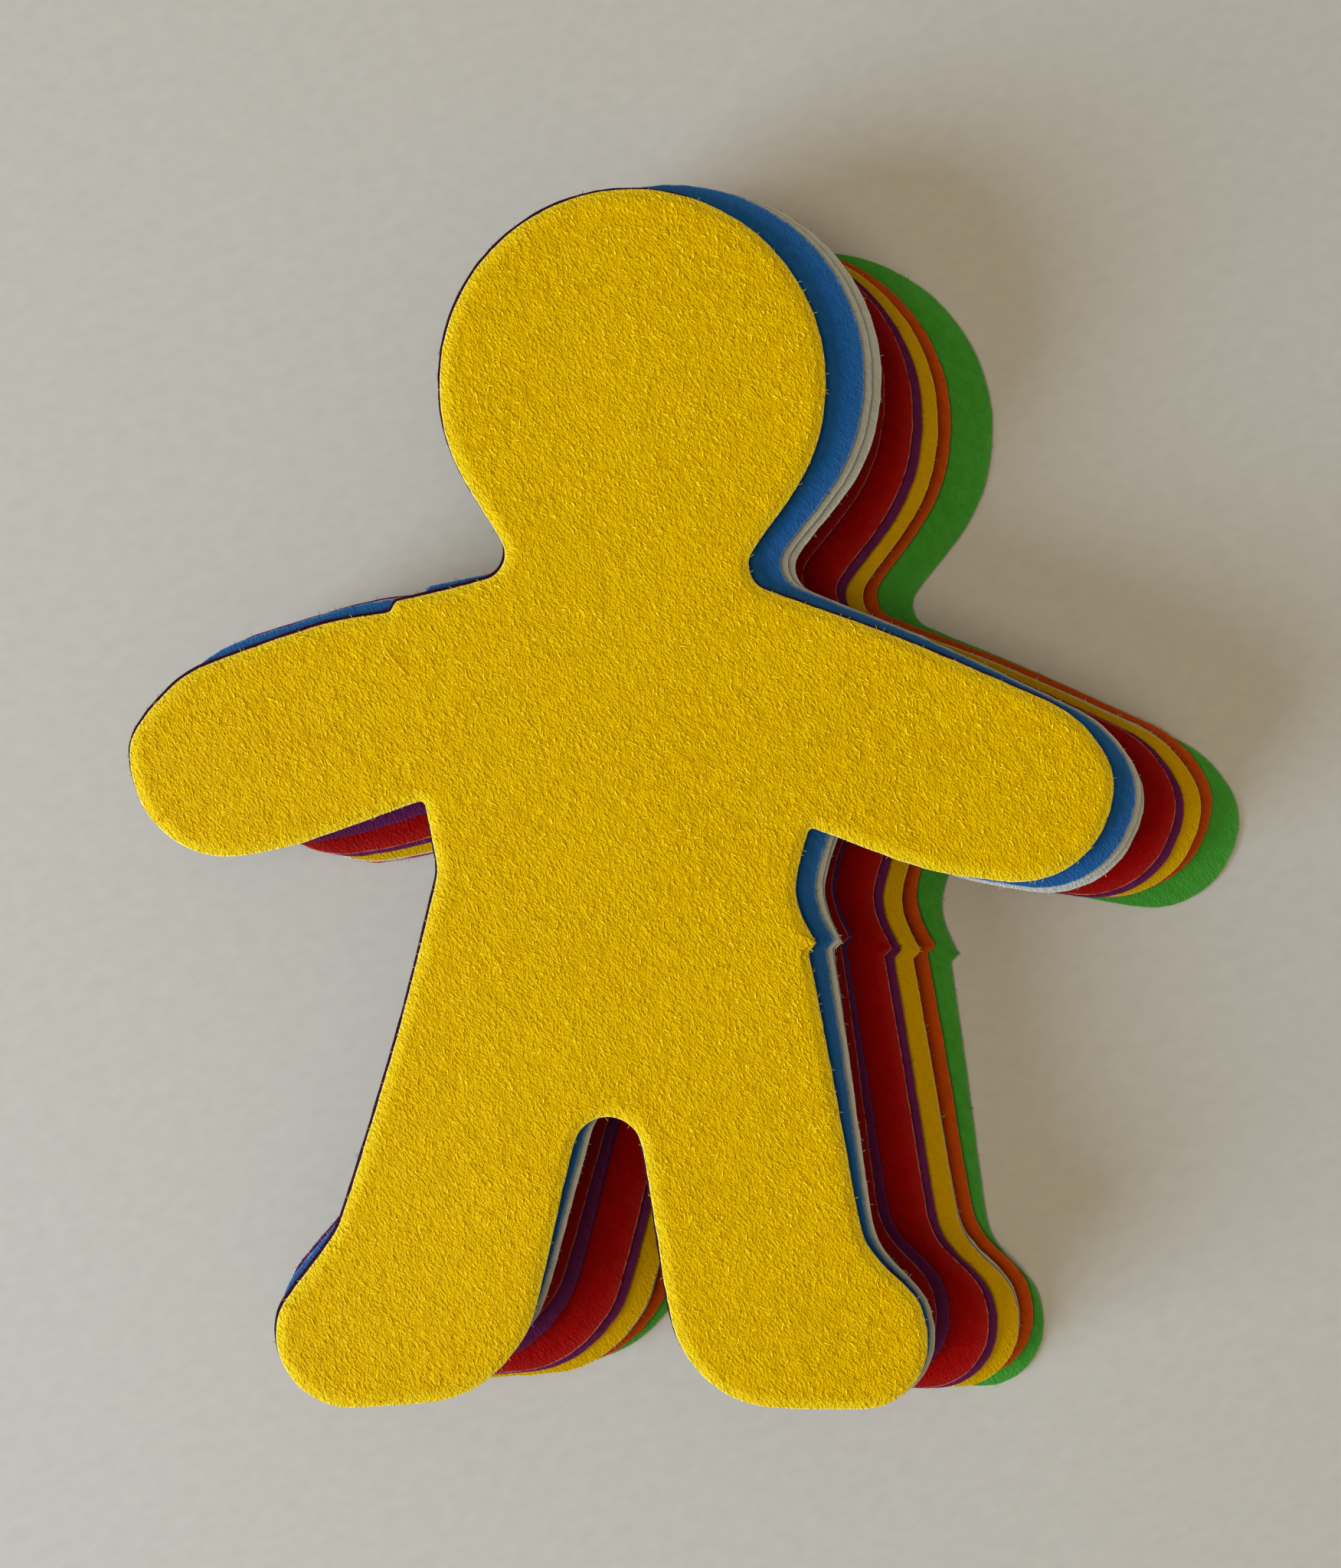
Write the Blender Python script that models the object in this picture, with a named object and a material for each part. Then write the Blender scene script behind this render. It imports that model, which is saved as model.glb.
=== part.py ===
"""A loose pile of die-cut paper dolls, fanned out as it slid.

The sheets lie flat on their backs, heads toward +Y, and rest one on another from z = 0 up.
One die cuts them all, so they share one outline, and each has its own place and turn in the pile.
The origin is below the middle of the whole pile, on the surface that it lies on.
"""

import math

import bmesh
import bpy
from mathutils import Matrix, Vector

MM = 0.001

# Card, and the air that its fuzz keeps between two sheets
SHEET_THICKNESS = 0.45 * MM
SHEET_GAP = 0.3 * MM

# Fineness of the arcs, and the closest that two points of the outline may lie
CHORD_ERROR = 0.12 * MM
LEAST_STEP = 0.02 * MM
SHARP_EDGE = math.radians(30)


# Main sizes of the doll, out from its centre line and up from its middle, the same on both sides
HEAD_RADIUS = 22.1 * MM
CROWN_UP = 70.2 * MM
JAW_UP = 41.0 * MM
NECK_OUT = 12.2 * MM
NECK_UP = 26.1 * MM
HAND_OUT = 57.0 * MM
HAND_UP = 5.0 * MM
ARMPIT_OUT = 22.0 * MM
ARMPIT_UP = -1.3 * MM
WAIST_OUT = 20.5 * MM
WAIST_UP = -8.7 * MM
ANKLE_OUT = 30.0 * MM
ANKLE_UP = -50.0 * MM
FOOT_OUT = 38.0 * MM
FOOT_UP = -70.0 * MM
CROTCH_OUT = 3.2 * MM
CROTCH_UP = -36.0 * MM

NECK = (NECK_OUT, NECK_UP)
HAND = (HAND_OUT, HAND_UP)
ARMPIT = (ARMPIT_OUT, ARMPIT_UP)
WAIST = (WAIST_OUT, WAIST_UP)
ANKLE = (ANKLE_OUT, ANKLE_UP)
FOOT = (FOOT_OUT, FOOT_UP)
CROTCH = (CROTCH_OUT, CROTCH_UP)


def corner(place, out, up, radius):
    """A corner of the cutting line: how far out and up it lies from a main place, and its rounding."""
    return (place[0] + out * MM, place[1] + up * MM, radius * MM)


# Head, whose width and rounding come from one radius
HEAD = {
    "temple": (HEAD_RADIUS, CROWN_UP, HEAD_RADIUS),
    "jaw": (HEAD_RADIUS, JAW_UP, HEAD_RADIUS),
    "neck": corner(NECK, 0.0, 0.0, 3.0),
}

# Right side, from shoulder to sole. The ends of the cutting rule meet at the waist and leave a burr there
RIGHT_SIDE = {
    "elbow": corner(NECK, 18.8, -6.1, 25.0),
    "hand top": corner(HAND, -4.6, 6.7, 14.5),
    "hand end": corner(HAND, 0.2, -0.2, 8.0),
    "hand low": corner(HAND, -3.4, -13.8, 11.0),
    "under arm": corner(ARMPIT, 13.4, -5.2, 18.0),
    "armpit": corner(ARMPIT, -0.2, -0.8, 0.5),
    "rib": corner(WAIST, 0.0, 0.0, 5.5),
    "burr root": corner(WAIST, 0.7, -3.3, 2.0),
    "burr tip": corner(WAIST, 2.6, -6.7, 0.3),
    "burr foot": corner(WAIST, 1.7, -7.7, 0.3),
    "hip": corner(WAIST, 4.4, -19.5, 90.0),
    "ankle": corner(ANKLE, -0.3, 0.0, 9.0),
    "foot top": corner(FOOT, -1.3, 13.8, 7.4),
    "sole": corner(FOOT, 0.6, 1.6, 7.6),
}

# Left side. The rule's other joint leaves a small lip on top of the arm
LEFT_SIDE = {
    "lip top": corner(NECK, 14.1, -4.0, 0.2),
    "lip foot": corner(NECK, 14.7, -5.2, 0.2),
    "elbow": corner(NECK, 22.3, -6.8, 18.0),
    "hand top": corner(HAND, -6.4, 8.1, 14.0),
    "hand end": corner(HAND, -0.4, 0.3, 6.5),
    "hand low": corner(HAND, -3.5, -15.3, 11.2),
    "under arm": corner(ARMPIT, 13.8, -4.4, 20.0),
    "armpit": corner(ARMPIT, 0.3, 0.9, 0.6),
    "rib": corner(WAIST, -0.1, 0.0, 6.0),
    "hip": corner(WAIST, 4.0, -18.8, 60.0),
    "ankle": corner(ANKLE, 0.6, 0.0, 8.0),
    "foot top": corner(FOOT, -0.7, 10.4, 8.0),
    "sole": corner(FOOT, -0.7, -1.2, 10.5),
}

# Inner side of each leg, from sole to crotch, the same on both
INNER_LEG = {
    "sole": corner(FOOT, -23.4, 1.2, 13.0),
    "heel": corner(FOOT, -29.7, 8.6, 14.0),
    "knee": corner(CROTCH, 1.6, -7.5, 10.0),
    "crotch": corner(CROTCH, 0.0, 0.0, 4.2),
}

# The fan, bottom sheet first: colour, millimetres right and up, degrees anticlockwise
FAN = [
    ("green", 14.0, -4.0, -4.65),
    ("orange", 10.4, -3.55, -2.65),
    ("red", 8.4, -4.15, -2.7),
    ("white", 8.2, -3.8, -2.4),
    ("yellow", 8.35, -3.9, -2.8),
    ("purple", 6.0, -3.65, -3.2),
    ("red", 4.8, -3.35, -3.15),
    ("blue", 0.1, -1.95, -3.45),
    ("purple", -0.28, -1.9, -3.15),
    ("red", -0.2, -1.25, -4.7),
]

# The squared bundle on the fan, hidden from above, which drifts evenly from sheet to sheet
BUNDLE_COLOURS = ["green", "orange", "yellow", "blue", "red", "green", "orange"]
BUNDLE_RIGHT = -5.6 * MM
BUNDLE_RIGHT_STEP = 0.1 * MM
BUNDLE_UP = -1.5 * MM
BUNDLE_TURN = math.radians(-2.3)
BUNDLE_TURN_STEP = math.radians(-0.05)

# The top sheets, from the bundle up, in the fan's units
TOP = [
    ("white", -2.0, -1.0, -5.05),
    ("purple", -1.75, -0.85, -5.05),
    ("white", -1.7, -1.05, -4.9),
    ("white", -2.25, -1.1, -4.15),
    ("blue", -3.12, -1.12, -4.0),
    ("purple", -6.13, -1.75, -1.85),
    ("yellow", -5.85, -2.1, -1.85),
]

# Dyed card, as linear colour
COLOURS = {
    "yellow": (0.68, 0.42, 0.005),
    "purple": (0.10, 0.014, 0.075),
    "blue": (0.025, 0.13, 0.42),
    "white": (0.62, 0.60, 0.54),
    "red": (0.33, 0.010, 0.008),
    "orange": (0.42, 0.052, 0.002),
    "green": (0.045, 0.20, 0.040),
}
ROUGHNESS = 0.9


def clear_scene():
    for old in list(bpy.data.objects):
        bpy.data.objects.remove(old, do_unlink=True)


def die_corners():
    """Every corner of the cutting line, clockwise from the right temple round to the left one."""
    right = [*HEAD.values(), *RIGHT_SIDE.values(), *INNER_LEG.values()]
    left = [*HEAD.values(), *LEFT_SIDE.values(), *INNER_LEG.values()]
    return right + [(-out, up, radius) for out, up, radius in reversed(left)]


def turn_at(before, here, after):
    """Signed angle that the line turns through at a corner."""
    return (after - here).angle_signed(here - before)


def tangent_lengths(points, radii, turns):
    """How much of its two sides each rounding takes, cut back where two of them share a short side."""
    wanted = [radius * math.tan(abs(turn) / 2) for radius, turn in zip(radii, turns)]
    share = [1.0] * len(points)
    for here, point in enumerate(points):
        before = here - 1
        both = wanted[before] + wanted[here]
        fit = (point - points[before]).length / both
        share[before] = min(share[before], fit)
        share[here] = min(share[here], fit)
    return [length * part for length, part in zip(wanted, share)]


def arc(corner_point, into, turn, tangent):
    """Points of the rounding that starts one tangent length before the corner and turns by the angle."""
    radius = tangent / math.tan(abs(turn) / 2)
    if radius * (1 / math.cos(turn / 2) - 1) < CHORD_ERROR:
        return [corner_point]
    side = math.copysign(1, turn)
    start = corner_point - into * tangent
    to_start = Vector((-into.y, into.x)) * -side * radius
    chords = math.ceil(abs(turn) / (2 * math.acos(1 - CHORD_ERROR / radius)))
    turned = [Matrix.Rotation(turn * step / chords, 2) @ to_start for step in range(chords + 1)]
    return [start - to_start + spoke for spoke in turned]


def die_outline():
    """The cutting line as a closed loop of points, with its round stretches as arcs."""
    corners = die_corners()
    points = [Vector(corner_[:2]) for corner_ in corners]
    radii = [corner_[2] for corner_ in corners]
    following = points[1:] + points[:1]
    turns = [turn_at(points[i - 1], points[i], following[i]) for i in range(len(points))]
    tangents = tangent_lengths(points, radii, turns)
    outline = []
    for i, point in enumerate(points):
        into = (point - points[i - 1]).normalized()
        for new in arc(point, into, turns[i], tangents[i]):
            if not outline or (new - outline[-1]).length > LEAST_STEP:
                outline.append(new)
    if (outline[0] - outline[-1]).length < LEAST_STEP:
        outline.pop()
    return outline


def card_material(colour):
    material = bpy.data.materials.new(f"card_{colour}")
    material.use_nodes = True
    shader = material.node_tree.nodes["Principled BSDF"]
    shader.inputs["Base Color"].default_value = (*COLOURS[colour], 1)
    shader.inputs["Roughness"].default_value = ROUGHNESS
    shader.inputs["Metallic"].default_value = 0
    return material


def sheet_mesh(colour, outline):
    """One cut sheet: the outline as a face, extruded up by the card's thickness."""
    sheet = bmesh.new()
    underside = sheet.faces.new([sheet.verts.new((*point, 0)) for point in outline])
    grown = bmesh.ops.extrude_face_region(sheet, geom=[underside])["geom"]
    lifted = [part for part in grown if isinstance(part, bmesh.types.BMVert)]
    bmesh.ops.translate(sheet, vec=(0, 0, SHEET_THICKNESS), verts=lifted)
    bmesh.ops.recalc_face_normals(sheet, faces=sheet.faces)
    mesh = bpy.data.meshes.new(f"sheet_{colour}")
    sheet.to_mesh(mesh)
    sheet.free()
    mesh.shade_smooth()
    mesh.set_sharp_from_angle(angle=SHARP_EDGE)
    mesh.materials.append(card_material(colour))
    return mesh


def bundle():
    """Colour, right, up and turn of each sheet in the squared bundle, from its bottom up."""
    return [
        (
            colour,
            BUNDLE_RIGHT + BUNDLE_RIGHT_STEP * i,
            BUNDLE_UP,
            BUNDLE_TURN + BUNDLE_TURN_STEP * i,
        )
        for i, colour in enumerate(BUNDLE_COLOURS)
    ]


def by_hand(rows):
    """Rows written in millimetres and degrees, as metres and radians."""
    return [(colour, right * MM, up * MM, math.radians(turn)) for colour, right, up, turn in rows]


def middle_of(sheets, outline):
    """Centre of the box round every sheet's outline, seen from above."""
    spread = [
        Vector((right, up)) + Matrix.Rotation(turn, 2) @ point
        for _, right, up, turn in sheets
        for point in outline
    ]
    across = [point.x for point in spread]
    along = [point.y for point in spread]
    return Vector(((min(across) + max(across)) / 2, (min(along) + max(along)) / 2))


def build_pile():
    outline = die_outline()
    sheets = by_hand(FAN) + bundle() + by_hand(TOP)
    middle = middle_of(sheets, outline)
    pile = bpy.data.objects.new("pile", None)
    pile.location = (-middle.x, -middle.y, 0)
    bpy.context.scene.collection.objects.link(pile)
    meshes = {colour: sheet_mesh(colour, outline) for colour in COLOURS}
    for level, (colour, right, up, turn) in enumerate(sheets):
        doll = bpy.data.objects.new(f"doll_{level + 1:02}_{colour}", meshes[colour])
        doll.parent = pile
        doll.location = (right, up, level * (SHEET_THICKNESS + SHEET_GAP))
        doll.rotation_euler.z = turn
        bpy.context.scene.collection.objects.link(doll)


clear_scene()
build_pile()
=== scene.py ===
"""Looks of a loose pile of die-cut paper dolls: rough dyed card with a crushed, fuzzy cut edge."""

import math
from collections import namedtuple

import bpy
import numpy as np
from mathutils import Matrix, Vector, geometry, kdtree


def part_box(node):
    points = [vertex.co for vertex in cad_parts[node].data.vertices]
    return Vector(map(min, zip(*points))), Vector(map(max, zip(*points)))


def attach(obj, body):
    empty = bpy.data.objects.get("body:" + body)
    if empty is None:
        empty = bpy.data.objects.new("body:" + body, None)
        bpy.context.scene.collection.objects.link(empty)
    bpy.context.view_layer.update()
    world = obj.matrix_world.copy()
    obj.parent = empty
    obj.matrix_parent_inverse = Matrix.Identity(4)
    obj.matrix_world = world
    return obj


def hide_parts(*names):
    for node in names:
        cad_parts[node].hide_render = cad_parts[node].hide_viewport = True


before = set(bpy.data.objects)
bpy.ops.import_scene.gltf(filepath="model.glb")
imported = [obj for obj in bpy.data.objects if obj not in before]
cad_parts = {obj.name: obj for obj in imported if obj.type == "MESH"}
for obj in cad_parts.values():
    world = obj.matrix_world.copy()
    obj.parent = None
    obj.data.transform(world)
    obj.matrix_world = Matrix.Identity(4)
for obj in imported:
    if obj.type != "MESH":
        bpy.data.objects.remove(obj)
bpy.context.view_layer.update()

MM = 0.001

# The photograph's view, straight down. The scale holds at the top of the pile
IMAGE_SIZE = (1751, 2048)
PIXELS_PER_MM = 11.43
CAMERA_OVER_PILE = 197.8 * MM
TOP_SHEET_FROM_AXIS = Vector((-5.551, -1.753)) * MM
SENSOR = 36.0
CLIP = (0.01, 10.0)

# One sheet of card, in millimetres
CARD = 0.62
UNDER_ROUND = 0.1

# How far the face has sunk at each distance in from the cut edge, where the cutter crushed it
RIM_DROP = (
    (0.0, 0.42),
    (0.05, 0.375),
    (0.2, 0.33),
    (0.5, 0.24),
    (0.85, 0.12),
    (1.1, 0.035),
    (1.3, 0.01),
    (1.7, 0.0),
)
RIM_WIDTH = RIM_DROP[-1][0]

# Share of that on the sheets below the top one, which lie pressed
RIM_PRESSED = 0.3

# What the rim attribute says at the underside's edge. It is 1 at the cut and 0 on the face
RIM_UNDER = 0.6

# Steps along the outline, and of the nets over the top face and over the plain ones. A net keeps
# a share of its step away from the rim, but no more than a millimetre
LINE_STEP = 0.45
DENSE_STEP = 0.1
FINE_GRID = 0.42
COARSE_GRID = 2.6
ROW_PITCH = 0.87
RIM_MARGIN = 0.6
RIM_MARGIN_MOST = 1.0

# An outline's corner stays sharp past this turn, and a mesh's edge past that one
SHARP_CORNER = math.radians(34)
SHARP_EDGE = math.radians(60)

# Value noise repeats after so many cells, and the shift keeps its lines off the axes
LATTICE = 256
LATTICE_SHIFT = 512.37

# Heights in millimetres, and wavelengths in millimetres with their shares: the ragged cut,
# the waves that all sheets follow, each sheet's own wave, and the tooth of the top face
DECKLE = 0.035
DECKLE_LAYERS = ((0.9, 1.0), (2.3, 0.8))
WAVE = 0.16
WAVE_LAYERS = ((34.0, 1.0), (13.6, 0.35))
OWN_WAVE_LAYERS = ((20.4, 0.16),)
TOOTH = 0.045
TOOTH_LAYERS = ((1.1, 1.0),)

# Way that the card's fibres lie, anticlockwise from +X
GRAIN_TURN = math.radians(-54)

# Seeds: some shared, some with a first value and a step from sheet to sheet
WAVE_SEED = 5
PATCH_SEED = 77
SHEET_SEED, SHEET_SEED_STEP = 40, 7
DECKLE_SEED, DECKLE_SEED_STEP = 300, 11
FRAY_SEED = 500
FELT_SEED = 900

# Fibres pressed into the top face: how many for each square millimetre, in patches, with sizes in
# millimetres, the scatter about the grain, and shares of their radius that they sink and arch up
FELT_FIBRES = 1.5
FELT_PATCH = 2.6
FELT_THINNED = -0.2
FELT_MARGIN = 0.5
FELT_LENGTH = (0.5, 1.4)
FELT_SHORTENED = (0.5, 1.0)
FELT_RADIUS = (0.06, 0.11)
FELT_SCATTER = 0.55
FELT_BOW = 0.06
FELT_SUNK = 0.3
FELT_ARCH = 0.3

# One long fibre that lies on the left upper arm of the top sheet, in millimetres
THREAD_MIDDLE = (-35.55, 17.1)
THREAD_LENGTH = 5.8
THREAD_TURN = math.radians(-51)
THREAD_BOW = -0.35
THREAD_RADIUS = 0.09
THREAD_RISE = 0.16

# Fibres that stand out of a cut edge: how many for each millimetre, with sizes in millimetres,
# and the scatter about straight out and about level
FRAY_FIBRES = 0.32
FRAY_LENGTH = (0.2, 0.75)
FRAY_RADIUS = (0.018, 0.032)
FRAY_ROOT = 0.12
FRAY_LOWEST = 0.12
FRAY_SCATTER = 0.7
FRAY_LIFT = 0.25
FRAY_BOW = 0.09

# Where the cutter left a nick, they are more and thicker. A nick is where the cosine between the
# cut's normals at one point and the next falls below this
NICK_COSINE = 0.9
NICK_FIBRES = 4.0
NICK_BURR = 2.0

# A fibre's radius at its very ends, as a share of its middle's
FIBRE_TAPER = 0.55

# Height of the felted relief on the top sheet and on the others, in millimetres
FELT_RELIEF = 0.135
CARD_RELIEF = 0.06

# Painted highlight: how much paler the sloping rim is painted than the face, as if the light
# catches it, on the top sheet and on the others. The same share scales how pale the loose fibres
# are painted
RIM_HIGHLIGHT_PAINTED_TOP = 0.5
RIM_HIGHLIGHT_PAINTED = 0.06

# Noise drawn out into strokes: their turn in the sheet's plane, their length and width in
# millimetres, the noise's detail and swirl, and the values between which it fades in
Strokes = namedtuple("Strokes", "turn length width detail swirl low high", defaults=(0.0, 0.0, 1.0))

# Strokes of the felted surface, and share of the height
FELT = (
    (Strokes(GRAIN_TURN, 0.9, 0.27, 2.0, 0.15, 0.4, 0.8), 1.0),
    (Strokes(GRAIN_TURN + 0.6, 0.6, 0.25, 2.0, 0.15, 0.4, 0.8), 0.8),
    (Strokes(GRAIN_TURN - 0.6, 0.6, 0.25, 2.0, 0.15, 0.4, 0.8), 0.8),
)
LOOSE_FIBRES = Strokes(GRAIN_TURN, 0.8, 0.26, 1.0, 0.1, 0.6, 0.74)
SWELL = Strokes(0.0, 5.0, 4.0, 1.0)
MOTTLE = Strokes(GRAIN_TURN, 1.5, 0.9, 3.0, low=0.4, high=0.62)
CLOUD = Strokes(0.3, 16.0, 12.0, 3.0, low=0.35, high=0.65)
TORN = Strokes(0.0, 0.9, 0.9, 2.0, low=0.3, high=0.6)
WASHED = Strokes(0.0, 0.8, 0.8, 1.0, low=0.35, high=0.7)
TABLE_GRAIN = Strokes(0.4, 2.4, 1.6, 4.0, low=0.3, high=0.7)

# Shares of the loose fibres and the clouds, and where on the rim the torn edge fades in
LOOSE_FIBRE_SHARE = 0.6
CLOUD_SHARE = 0.5
TORN_RIM = (0.9, 0.98)

# Dyed card, mostly as under even light: body, hollows of the tooth, pale fibre, cut edge. The pale
# fibre colour is also the colour of the rim's painted highlight. Some colours hold painted light or
# shade: the top sheet's yellow is painted brighter as lit, the yellow sheets below it are painted
# darker as shaded, and the purple right under the top sheet is painted darker as shaded
CARD_COLOURS = {
    # The top sheet's yellow, painted brighter than the lower yellow sheets, as lit
    "yellow_lit": ((238, 189, 0), (224, 172, 0), (255, 226, 40), (255, 240, 150)),
    # The purple right under the top sheet, painted darker as shaded
    "purple_shaded": ((54, 14, 36), (46, 10, 28), (100, 50, 80), (96, 34, 52)),
    # The yellow sheets lower in the pile, painted darker than the top one, as shaded
    "yellow": ((202, 155, 0), (194, 147, 0), (236, 200, 40), (240, 214, 110)),
    "purple": ((98, 28, 78), (86, 22, 66), (130, 84, 130), (128, 74, 106)),
    "indigo": ((62, 34, 110), (54, 27, 98), (110, 96, 180), (104, 86, 170)),
    "blue": ((32, 89, 154), (27, 81, 144), (126, 168, 226), (150, 180, 226)),
    "white": ((186, 186, 182), (176, 176, 171), (236, 236, 233), (236, 236, 231)),
    "red": ((154, 11, 8), (140, 7, 5), (216, 106, 98), (232, 160, 150)),
    "orange": ((186, 70, 4), (174, 60, 2), (238, 150, 90), (236, 140, 90)),
    "green": ((68, 150, 52), (60, 140, 45), (140, 196, 132), (150, 200, 140)),
}

# How much of the cut edge's colour shows on each dye
RIM_PALE = {
    "yellow_lit": 0.9,
    "purple_shaded": 0.3,
    "yellow": 0.4,
    "purple": 0.25,
    "indigo": 0.5,
    "blue": 0.4,
    "white": 0.3,
    "red": 0.45,
    "orange": 0.3,
    "green": 0.2,
}

# Sheets whose colour departs from the plain colour of their name: the top yellow is painted lit,
# the purple under it is painted shaded, and the blue is a real indigo dye
DYES = {"doll_24_yellow": "yellow_lit", "doll_23_purple": "purple_shaded", "doll_08_blue": "indigo"}

# A pale table, just under the pile
TABLE_COLOURS = ((194, 188, 184), (200, 194, 190))
TABLE_SIZE = 3.0
TABLE_UNDER = 0.02 * MM
TABLE_RELIEF = 0.1
TABLE_BUMP = 0.15

# Warm light from the room all round
ROOM_COLOUR = (1.0, 0.89, 0.64, 1)
ROOM_STRENGTH = 0.29


def noise_field(points, wavelength, seed):
    """Smooth value noise from -1 to 1 at 2-D points, with the wavelength in their own unit."""
    lattice = np.random.default_rng(seed).uniform(-1, 1, (LATTICE, LATTICE))
    place = np.asarray(points, float) / wavelength + LATTICE_SHIFT
    cell = np.floor(place).astype(int)
    part = place - cell
    part = part * part * (3 - 2 * part)
    x0, y0 = cell[:, 0] % LATTICE, cell[:, 1] % LATTICE
    x1, y1 = (x0 + 1) % LATTICE, (y0 + 1) % LATTICE
    low = lattice[x0, y0] * (1 - part[:, 0]) + lattice[x1, y0] * part[:, 0]
    high = lattice[x0, y1] * (1 - part[:, 0]) + lattice[x1, y1] * part[:, 0]
    return low * (1 - part[:, 1]) + high * part[:, 1]


def layered(points, layers, seed):
    """Noise of several wavelengths, added up by their shares, with the next seed for each."""
    fields = [noise_field(points, length, seed + k) for k, (length, _) in enumerate(layers)]
    return sum(share * field for (_, share), field in zip(layers, fields))


def path_tree(line):
    """Finds which point of a line is nearest to a place."""
    tree = kdtree.KDTree(len(line))
    for i, point in enumerate(line):
        tree.insert((*point, 0), i)
    tree.balance()
    return tree


def cut_line(node):
    """The outline of a node's top face as ordered points in millimetres, anticlockwise."""
    level_within = 0.01
    same_digits = 3
    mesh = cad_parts[node].data
    spots = np.array([v.co for v in mesh.vertices]) / MM
    lowest = spots[:, 2].max() - level_within
    key = [tuple(np.round(spot[:2], same_digits)) for spot in spots]
    edges = set()
    for face in mesh.polygons:
        corners = list(face.vertices)
        if min(spots[c, 2] for c in corners) >= lowest:
            edges.update((key[a], key[b]) for a, b in zip(corners, corners[1:] + corners[:1]))

    # Within the face each edge is there both ways round, and on its outline only one way
    after = {a: b for a, b in edges if (b, a) not in edges}
    start = min(after)
    line = [start]
    while after[line[-1]] != start:
        line.append(after[line[-1]])
    return np.array(line)


def smooth_line(corners):
    """A curve through the outline's points, evenly spaced, with its sharp corners kept."""
    count = len(corners)
    ahead = np.roll(corners, -1, 0) - corners
    behind = np.roll(ahead, 1, 0)
    bend = np.arctan2(
        behind[:, 0] * ahead[:, 1] - behind[:, 1] * ahead[:, 0], (behind * ahead).sum(1)
    )
    sharp = np.abs(bend) > SHARP_CORNER
    dense = []
    for i in range(count):
        a, b = corners[i], corners[(i + 1) % count]
        before = 2 * a - b if sharp[i] else corners[i - 1]
        after = 2 * b - a if sharp[(i + 1) % count] else corners[(i + 2) % count]
        length = np.linalg.norm(b - a)
        out_of = (b - before) / (length + np.linalg.norm(a - before)) * length
        into = (after - a) / (np.linalg.norm(after - b) + length) * length
        for t in np.linspace(0, 1, max(2, int(length / DENSE_STEP)), endpoint=False):
            t2, t3 = t * t, t * t * t
            dense.append(
                a * (2 * t3 - 3 * t2 + 1) + out_of * (t3 - 2 * t2 + t)
                + b * (3 * t2 - 2 * t3) + into * (t3 - t2)
            )
    dense = np.array(dense)
    gaps = np.linalg.norm(np.roll(dense, -1, 0) - dense, axis=1)
    along = np.concatenate([[0], np.cumsum(gaps)])
    closed = np.vstack([dense, dense[:1]])
    stations = np.linspace(0, along[-1], int(along[-1] / LINE_STEP), endpoint=False)
    return np.stack([np.interp(stations, along, closed[:, axis]) for axis in (0, 1)], 1)


def inward(line):
    """Unit normals that point into the card, for a line that runs anticlockwise."""
    run = np.roll(line, -1, 0) - np.roll(line, 1, 0)
    normal = np.stack([-run[:, 1], run[:, 0]], 1)
    return normal / np.linalg.norm(normal, axis=1)[:, None]


def deckled(line, seed):
    """The cut line, a little ragged where fibres pulled out."""
    return line + inward(line) * (DECKLE * layered(line, DECKLE_LAYERS, seed))[:, None]


def reach(line, normal):
    """How far in each point can step before it meets another part of the rim."""
    clear_share = 0.85
    neighbours = range(-2, 3)
    tree = path_tree(line)
    far = np.zeros(len(line))
    clear = np.full(len(line), True)
    for inset, _ in RIM_DROP[1:]:
        for i, point in enumerate(line + normal * inset):
            clear[i] = clear[i] and tree.find((*point, 0))[2] > inset * clear_share
            if clear[i]:
                far[i] = inset
    near = np.array([np.roll(far, k) for k in neighbours]).min(0)
    return np.array([np.roll(near, k) for k in neighbours]).mean(0)


def inside(points, line):
    """Whether each point lies inside a closed line."""
    odd = np.full(len(points), False)
    for (x0, y0), (x1, y1) in zip(line, np.roll(line, -1, 0)):
        spans = (y0 > points[:, 1]) != (y1 > points[:, 1])
        crossing = x0 + (points[:, 1] - y0) * (x1 - x0) / (y1 - y0 if y1 != y0 else 1.0)
        odd ^= spans & (points[:, 0] < crossing)
    return odd


def smooth_mesh(name, spots, faces):
    """A smooth shaded mesh from points in millimetres."""
    mesh = bpy.data.meshes.new(name)
    mesh.from_pydata([tuple(MM * v for v in spot) for spot in spots], [], faces)
    mesh.validate()
    mesh.shade_smooth()
    return mesh


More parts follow.
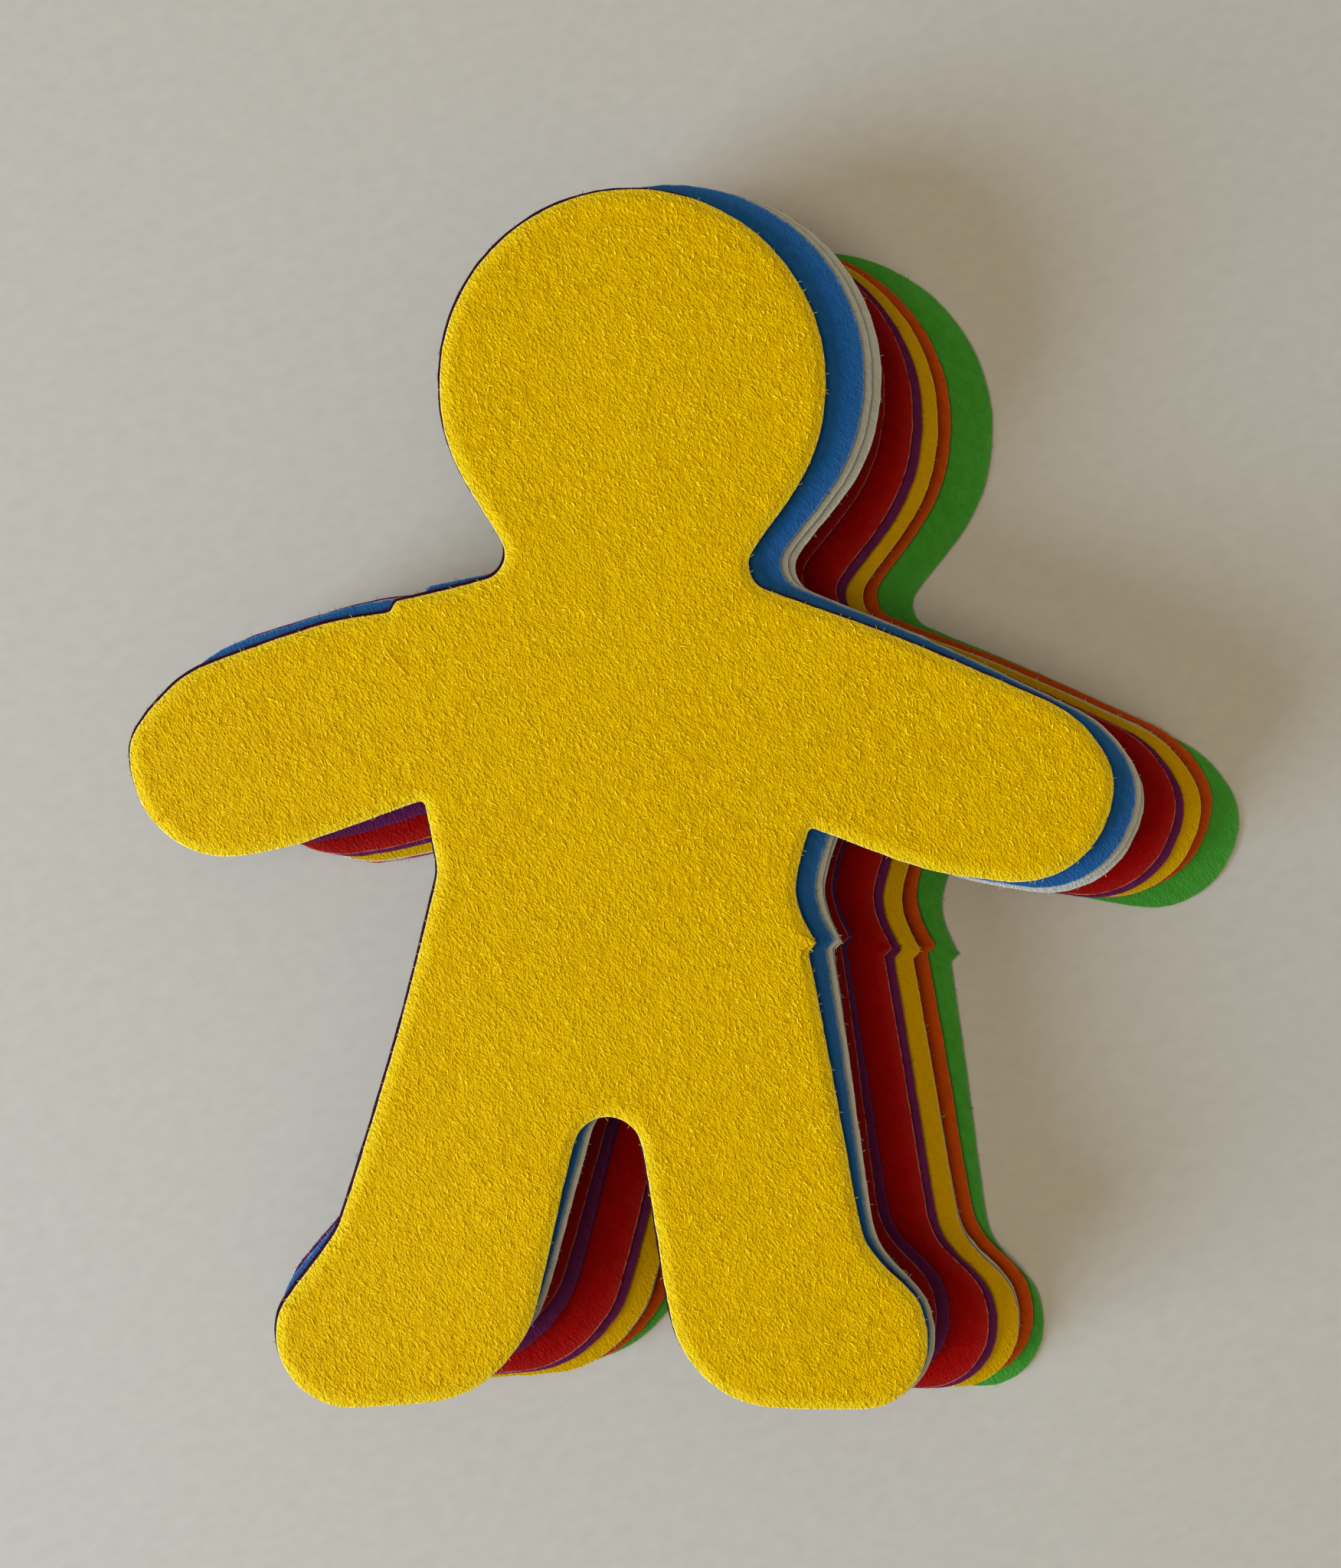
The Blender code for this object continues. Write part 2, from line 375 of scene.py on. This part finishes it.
class Sheet:
    """The points and faces of one sheet of card, in millimetres."""

    def __init__(self, bottom, share, seed):
        """The share is how high the sheet is in the pile, from 0 to 1."""
        self.bottom = bottom
        self.share = share
        self.seed = seed
        self.spots = []
        self.faces = []
        self.rim = []

    def height(self, flat):
        """Rise of the sheet over its flat place: the higher in the pile, the less flat it lies."""
        common = layered(flat, WAVE_LAYERS, WAVE_SEED)
        own = layered(flat, OWN_WAVE_LAYERS, self.seed)
        return WAVE * self.share * (common + own)

    def tooth(self, flat):
        """The small ups and downs of a rough face, from -1 to 1."""
        return layered(flat, TOOTH_LAYERS, self.seed + 2)

    def top(self, flat):
        """Height of the sheet's rough face."""
        return self.bottom + CARD + self.height(flat) + TOOTH * self.tooth(flat)

    def add(self, flat, drop, rim, tooth=0.0):
        """Adds points at a drop below the face, with their rim value, and gives their numbers."""
        first = len(self.spots)
        rise = self.height(flat) + tooth * self.tooth(flat)
        self.spots.extend((x, y, self.bottom + CARD - drop + z) for (x, y), z in zip(flat, rise))
        self.rim.extend([rim] * len(flat))
        return list(range(first, len(self.spots)))

    def strip(self, outer, inner):
        """Joins two rings of the same number of points."""
        for i in range(len(outer)):
            j = (i + 1) % len(outer)
            self.faces.append((outer[i], outer[j], inner[j], inner[i]))

    def cap(self, ring, flat_ring, spacing, drop, tooth, upward):
        """Fills the innermost ring with an even net of triangles."""
        margin = min(spacing * RIM_MARGIN, RIM_MARGIN_MOST)
        merged_within = 1e-6
        only_inside = 1
        low, high = flat_ring.min(0), flat_ring.max(0)
        across = np.arange(low[0], high[0], spacing)
        along = np.arange(low[1], high[1], spacing * ROW_PITCH)
        net = [(x + (k % 2) * spacing / 2, y) for k, y in enumerate(along) for x in across]
        tree = path_tree(flat_ring)
        net = np.array([p for p in net if tree.find((*p, 0))[2] > margin])
        given = [Vector(p) for p in np.vstack([flat_ring, net])]
        outline = [list(range(len(ring)))]
        made = geometry.delaunay_2d_cdt(given, [], outline, only_inside, merged_within, True)
        places, _, triangles, came_from, _, within = made
        filled = [face for face, outlines in zip(triangles, within) if outlines]
        places = np.array([[p.x, p.y] for p in places])
        wanted = sorted({corner for face in filled for corner in face})
        index = {
            i: ring[came_from[i][0]]
            for i in wanted
            if came_from[i] and came_from[i][0] < len(ring)
        }
        fresh = [i for i in wanted if i not in index]
        index.update(zip(fresh, self.add(places[fresh], drop, 0.0, tooth)))
        for a, b, c in filled:
            corners = (a, b, c) if upward else (c, b, a)
            self.faces.append(tuple(index[corner] for corner in corners))


def sheet_mesh(name, sheet, line, top_sheet):
    """The mesh of one sheet: rings down the crushed rim, a net over the face, a plain underside."""
    normal = inward(line)
    far = reach(line, normal)
    pressed = 1.0 if top_sheet else RIM_PRESSED
    tooth = TOOTH if top_sheet else 0.0
    rings = []
    for inset, drop in RIM_DROP:
        flat = line + normal * np.minimum(inset, far)[:, None]
        rings.append(sheet.add(flat, drop * pressed, 1 - inset / RIM_WIDTH, tooth * min(1, inset)))
        if len(rings) > 1:
            sheet.strip(rings[-2], rings[-1])
    sheet.cap(rings[-1], flat, FINE_GRID if top_sheet else COARSE_GRID, 0.0, tooth, True)
    low = sheet.add(line, CARD - UNDER_ROUND, 1.0)
    tucked = line + normal * np.minimum(UNDER_ROUND, far)[:, None]
    under = sheet.add(tucked, CARD, RIM_UNDER)
    sheet.strip(low, rings[0])
    sheet.strip(under, low)
    sheet.cap(under, tucked, COARSE_GRID, CARD, 0.0, False)
    mesh = smooth_mesh(name, sheet.spots, sheet.faces)
    rim = mesh.attributes.new("rim", "FLOAT", "POINT")
    rim.data.foreach_set("value", np.array(sheet.rim, np.float32))
    mesh.set_sharp_from_angle(angle=SHARP_EDGE)
    return mesh


def spindles(middle, run, side, bow, radius, rise):
    """Closed fibres that taper to both ends: points and faces, for all of them at once."""
    up = np.cross(run, side)
    up /= np.linalg.norm(up, axis=1)[:, None]
    spots = []
    for along in (-0.5, -0.25, 0.0, 0.25, 0.5):
        arch = 1 - 4 * along * along
        core = middle + run * along + side * (bow * arch)[:, None] + up * (rise * arch)[:, None]
        if arch == 0:
            spots.append(core[:, None])
            continue
        thick = (radius * (FIBRE_TAPER + (1 - FIBRE_TAPER) * arch))[:, None]
        ring = [core + side * thick, core + up * thick, core - side * thick, core - up * thick]
        spots.append(np.stack(ring, 1))
    spots = np.concatenate(spots, 1)

    # Each fibre has its tail, three rings of four points, and its tip
    tail, first, second, third, tip = 0, 1, 5, 9, 13
    pattern = []
    for k in range(4):
        m = (k + 1) % 4
        pattern.append((tail, first + m, first + k))
        pattern.append((tip, third + k, third + m))
        for near, far in ((first, second), (second, third)):
            pattern.append((near + k, near + m, far + m, far + k))
    each = tip + 1
    faces = [tuple(i * each + c for c in face) for i in range(len(spots)) for face in pattern]
    return spots.reshape(-1, 3), faces


def felt_fibres(name, sheet, line, seed):
    """Short fibres pressed into a face, most of them along the grain, and the one long fibre."""
    rng = np.random.default_rng(seed)
    low, high = line.min(0), line.max(0)
    count = int(FELT_FIBRES * np.prod(high - low))
    flat = rng.uniform(low, high, (count, 2))
    patches = noise_field(flat, FELT_PATCH, PATCH_SEED) + rng.uniform(-1, 1, count)
    flat = flat[inside(flat, line) & (patches > FELT_THINNED)]
    edge = path_tree(line)
    depth = np.array([edge.find((*p, 0))[2] for p in flat])
    flat, depth = flat[depth > FELT_MARGIN], depth[depth > FELT_MARGIN]
    drop = np.interp(depth, *zip(*RIM_DROP))
    count = len(flat)
    turn = GRAIN_TURN + rng.normal(0, FELT_SCATTER, count)
    length = rng.uniform(*FELT_LENGTH, count) * rng.uniform(*FELT_SHORTENED, count)
    radius = rng.uniform(*FELT_RADIUS, count)
    bow = rng.normal(0, FELT_BOW, count)
    rise = radius * FELT_ARCH

    # The long fibre comes last
    flat = np.vstack([flat, THREAD_MIDDLE])
    drop = np.append(drop, 0.0)
    turn = np.append(turn, THREAD_TURN)
    length = np.append(length, THREAD_LENGTH)
    radius = np.append(radius, THREAD_RADIUS)
    bow = np.append(bow, THREAD_BOW)
    rise = np.append(rise, THREAD_RISE)

    run = np.stack([np.cos(turn), np.sin(turn), np.zeros(len(flat))], 1)
    side = np.stack([-run[:, 1], run[:, 0], np.zeros(len(flat))], 1)
    half = run[:, :2] * (length / 2)[:, None]
    start, end = sheet.top(flat - half), sheet.top(flat + half)
    middle = np.column_stack([flat, (start + end) / 2 - drop - radius * FELT_SUNK])
    run = run * length[:, None]
    run[:, 2] = end - start
    return smooth_mesh(name, *spindles(middle, run, side, bow, radius, rise))


def frayed_edge(name, sheet, line, seed):
    """Fine fibres that stand out of the cut edge, thicker together where the cutter left a nick."""
    rng = np.random.default_rng(seed)
    normal = inward(line)
    nick = np.abs((normal * np.roll(normal, 1, 0)).sum(1)) < NICK_COSINE
    odds = np.where(nick, NICK_FIBRES, 1.0)
    count = int(FRAY_FIBRES * LINE_STEP * len(line))
    root = rng.choice(len(line), count, p=odds / odds.sum())
    flat = line[root] + rng.uniform(-0.5, 0.5, (count, 1)) * (np.roll(line, -1, 0) - line)[root]
    turn = np.arctan2(-normal[root, 1], -normal[root, 0]) + rng.normal(0, FRAY_SCATTER, count)
    lift = rng.normal(0, FRAY_LIFT, count)
    length = rng.uniform(*FRAY_LENGTH, count)
    radius = rng.uniform(*FRAY_RADIUS, count) * np.where(nick[root], NICK_BURR, 1.0)
    run = np.stack([np.cos(turn) * np.cos(lift), np.sin(turn) * np.cos(lift), np.sin(lift)], 1)
    side = np.stack([-np.sin(turn), np.cos(turn), np.zeros(count)], 1)
    over_bottom = rng.uniform(FRAY_LOWEST, CARD - RIM_DROP[0][1], count)
    height = sheet.bottom + over_bottom + sheet.height(flat)
    middle = np.column_stack([flat, height]) + run * (length / 2 - FRAY_ROOT)[:, None]
    run = run * length[:, None]
    bow = rng.normal(0, FRAY_BOW, count)
    return smooth_mesh(name, *spindles(middle, run, side, bow, radius, np.zeros(count)))


def linear(red, green, blue):
    """A colour as the screen shows it, 0 to 255, as linear light."""
    def decode(value):
        share = value / 255
        return share / 12.92 if share <= 0.04045 else ((share + 0.055) / 1.055) ** 2.4
    return (decode(red), decode(green), decode(blue), 1)


class Nodes:
    """A new material, and a short hand for wiring its nodes."""

    def __init__(self, name):
        self.material = bpy.data.materials.new(name)
        self.material.use_nodes = True
        self.tree = self.material.node_tree
        self.shader = self.tree.nodes["Principled BSDF"]
        self.place = self.add("ShaderNodeTexCoord").outputs["Object"]

    def add(self, kind, inputs=(), **settings):
        node = self.tree.nodes.new(kind)
        for name, value in settings.items():
            setattr(node, name, value)
        for name, value in dict(inputs).items():
            self.set(node, name, value)
        return node

    def set(self, node, name, value):
        if isinstance(value, bpy.types.NodeSocket):
            self.tree.links.new(value, node.inputs[name])
        else:
            node.inputs[name].default_value = value

    def maths(self, operation, *values):
        return self.add("ShaderNodeMath", dict(enumerate(values)), operation=operation).outputs[0]

    def ramp(self, value, low, high):
        """0 below low, 1 above high, straight between."""
        node = self.add("ShaderNodeMapRange", {"Value": value, "From Min": low, "From Max": high})
        return node.outputs["Result"]

    def mix(self, share, a, b):
        """From colour a to colour b, which are the mix node's inputs 6 and 7."""
        return self.add("ShaderNodeMix", {0: share, 6: a, 7: b}, data_type="RGBA").outputs[2]

    def noise(self, strokes):
        """The noise of some strokes, before it fades in."""
        turned = self.add(
            "ShaderNodeMapping",
            {"Vector": self.place, "Rotation": (0, 0, -strokes.turn)},
            vector_type="POINT",
        )
        along, across = 1 / (strokes.length * MM), 1 / (strokes.width * MM)
        stretched = self.add(
            "ShaderNodeMapping", {"Vector": turned.outputs[0], "Scale": (along, across, across)}
        )
        inputs = {
            "Vector": stretched.outputs[0],
            "Scale": 1.0,
            "Detail": strokes.detail,
            "Roughness": 0.55,
            "Distortion": strokes.swirl,
        }
        return self.add("ShaderNodeTexNoise", inputs).outputs["Fac"]

    def fading(self, strokes):
        """The noise of some strokes, as shares from 0 to 1."""
        return self.ramp(self.noise(strokes), strokes.low, strokes.high)

    def bump(self, height, relief, strength=1.0):
        """Gives the shader a relief of so many millimetres."""
        inputs = {"Strength": strength, "Distance": relief * MM, "Height": height}
        self.set(self.shader, "Normal", self.add("ShaderNodeBump", inputs).outputs[0])

    def finish(self, **inputs):
        """Sets the shader's inputs by their names, and returns the material."""
        for name, value in inputs.items():
            self.set(self.shader, name.replace("_", " "), value)
        return self.material


def card_material(dye, top_sheet):
    """Rough dyed card: felted strokes in the relief, pale loose fibres that are partly painted
    glints, and a rim painted paler as a highlight.
    """
    nodes = Nodes(f"card_{dye}")
    body, hollow, pale, edge = (linear(*rgb) for rgb in CARD_COLOURS[dye])
    height = 0.0
    for strokes, share in FELT:
        height = nodes.maths("MULTIPLY_ADD", nodes.fading(strokes), share, height)
    fibre = nodes.fading(LOOSE_FIBRES)
    height = nodes.maths("MULTIPLY_ADD", fibre, LOOSE_FIBRE_SHARE, height)
    height = nodes.maths("ADD", height, nodes.noise(SWELL))
    nodes.bump(height, FELT_RELIEF if top_sheet else CARD_RELIEF)

    # The dye is mottled along the grain and evener in clouds, with pale fibres over it: partly
    # paler fibre, partly painted glints, strongest on the top sheet
    # Share of painted highlight on the rim and on the loose fibres, strong on the top sheet only
    highlight_painted = RIM_HIGHLIGHT_PAINTED_TOP if top_sheet else RIM_HIGHLIGHT_PAINTED
    dyed = nodes.mix(nodes.fading(MOTTLE), hollow, body)
    dyed = nodes.mix(nodes.maths("MULTIPLY", nodes.fading(CLOUD), CLOUD_SHARE), dyed, body)
    dyed = nodes.mix(nodes.maths("MULTIPLY", fibre, LOOSE_FIBRE_SHARE * highlight_painted), dyed, pale)

    # The slope of the rim is painted paler as a highlight, and its very edge shows torn fibres in
    # places
    rim = nodes.add("ShaderNodeAttribute", attribute_name="rim").outputs["Fac"]
    dyed = nodes.mix(nodes.maths("MULTIPLY", rim, highlight_painted), dyed, pale)
    torn = nodes.maths("MULTIPLY", nodes.ramp(rim, *TORN_RIM), RIM_PALE[dye])
    dyed = nodes.mix(nodes.maths("MULTIPLY", torn, nodes.fading(TORN)), dyed, edge)
    return nodes.finish(
        Base_Color=dyed, Roughness=0.42, Specular_IOR_Level=0.12, Specular_Tint=body
    )


def fibre_material(dye):
    """One loose fibre: the dye, washed out in places along its length."""
    nodes = Nodes(f"fibre_{dye}")
    body, _, pale, _ = (linear(*rgb) for rgb in CARD_COLOURS[dye])
    dyed = nodes.mix(nodes.fading(WASHED), body, pale)
    return nodes.finish(Base_Color=dyed, Roughness=0.4, Specular_IOR_Level=0.4, Specular_Tint=body)


def table_material():
    """A plain pale table with a faint grain."""
    nodes = Nodes("pale_table")
    dark, light = (linear(*rgb) for rgb in TABLE_COLOURS)
    grain = nodes.noise(TABLE_GRAIN)
    nodes.bump(grain, TABLE_RELIEF, TABLE_BUMP)
    tone = nodes.mix(nodes.ramp(grain, TABLE_GRAIN.low, TABLE_GRAIN.high), dark, light)
    return nodes.finish(Base_Color=tone, Roughness=0.8)


def place_piece(name, mesh, material, body):
    """Puts a mesh into the scene as a piece that rides a body."""
    mesh.materials.append(material)
    piece = bpy.data.objects.new(name, mesh)
    bpy.context.scene.collection.objects.link(piece)
    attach(piece, body)
    return piece


def build_pile():
    """One detailed sheet for each node, in the same place, with its loose fibres."""
    nodes = sorted(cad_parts)
    last = len(nodes) - 1
    materials = {}
    for level, node in enumerate(nodes):
        colour = node.split("_")[-1]
        dye = DYES.get(node, colour)
        top_sheet = level == last
        if dye not in materials:
            materials[dye] = card_material(dye, top_sheet), fibre_material(dye)
        card, fibre = materials[dye]
        line = deckled(smooth_line(cut_line(node)), DECKLE_SEED + DECKLE_SEED_STEP * level)
        sheet = Sheet(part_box(node)[0].z / MM, level / last, SHEET_SEED + SHEET_SEED_STEP * level)
        name = node.replace("doll", "card")
        piece = place_piece(name, sheet_mesh(name, sheet, line, top_sheet), card, node)
        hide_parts(node)
        name = node.replace("doll", "fray")
        place_piece(name, frayed_edge(name, sheet, line, FRAY_SEED + level), fibre, node)
        if top_sheet:
            name = node.replace("doll", "felt")
            mesh = felt_fibres(name, sheet, line, FELT_SEED + level)
            place_piece(name, mesh, fibre, node)


def build_floor():
    """The table that the pile lies on."""
    bpy.ops.mesh.primitive_plane_add(size=TABLE_SIZE, location=(0, 0, -TABLE_UNDER))
    floor = bpy.context.object
    floor.name = "floor"
    floor.data.materials.append(table_material())


def build_camera():
    """Straight down over the point that the photograph's middle shows."""
    data = bpy.data.cameras.new("camera")
    camera = bpy.data.objects.new("camera", data)
    bpy.context.scene.collection.objects.link(camera)
    low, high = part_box(sorted(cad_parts)[-1])
    axis = (low + high).xy / 2 - TOP_SHEET_FROM_AXIS
    camera.location = (*axis, high.z + CAMERA_OVER_PILE)
    focal = PIXELS_PER_MM / MM * CAMERA_OVER_PILE
    data.sensor_width = SENSOR
    data.lens = focal * SENSOR / max(IMAGE_SIZE)
    data.clip_start, data.clip_end = CLIP
    bpy.context.scene.camera = camera


def area_light(name, size, power, colour, azimuth, elevation, distance):
    """A soft round light aimed at the pile from an azimuth, counted anticlockwise from +X."""
    data = bpy.data.lights.new(name, "AREA")
    data.shape = "DISK"
    data.size = size
    data.energy = power
    data.color = colour
    light = bpy.data.objects.new(name, data)
    turn, lift = math.radians(azimuth), math.radians(elevation)
    level = math.cos(lift)
    away = Vector((math.cos(turn) * level, math.sin(turn) * level, math.sin(lift)))
    light.location = away * distance
    light.rotation_euler = away.to_track_quat("Z", "Y").to_euler()
    bpy.context.scene.collection.objects.link(light)


def build_lights():
    """A cool window low on the left, a warm lamp high on the same side, and the room."""
    area_light(
        "window",
        size=0.68,
        power=22.4,
        colour=(0.64, 0.82, 1.0),
        azimuth=204,
        elevation=21,
        distance=1.3,
    )
    area_light(
        "lamp",
        size=0.7,
        power=6.0,
        colour=(1.0, 0.89, 0.62),
        azimuth=196,
        elevation=66,
        distance=1.4,
    )
    world = bpy.data.worlds.new("studio")
    world.use_nodes = True
    background = world.node_tree.nodes["Background"]
    background.inputs["Color"].default_value = ROOM_COLOUR
    background.inputs["Strength"].default_value = ROOM_STRENGTH
    bpy.context.scene.world = world
    bpy.context.scene.view_settings.view_transform = "Standard"


build_pile()
build_floor()
build_camera()
build_lights()
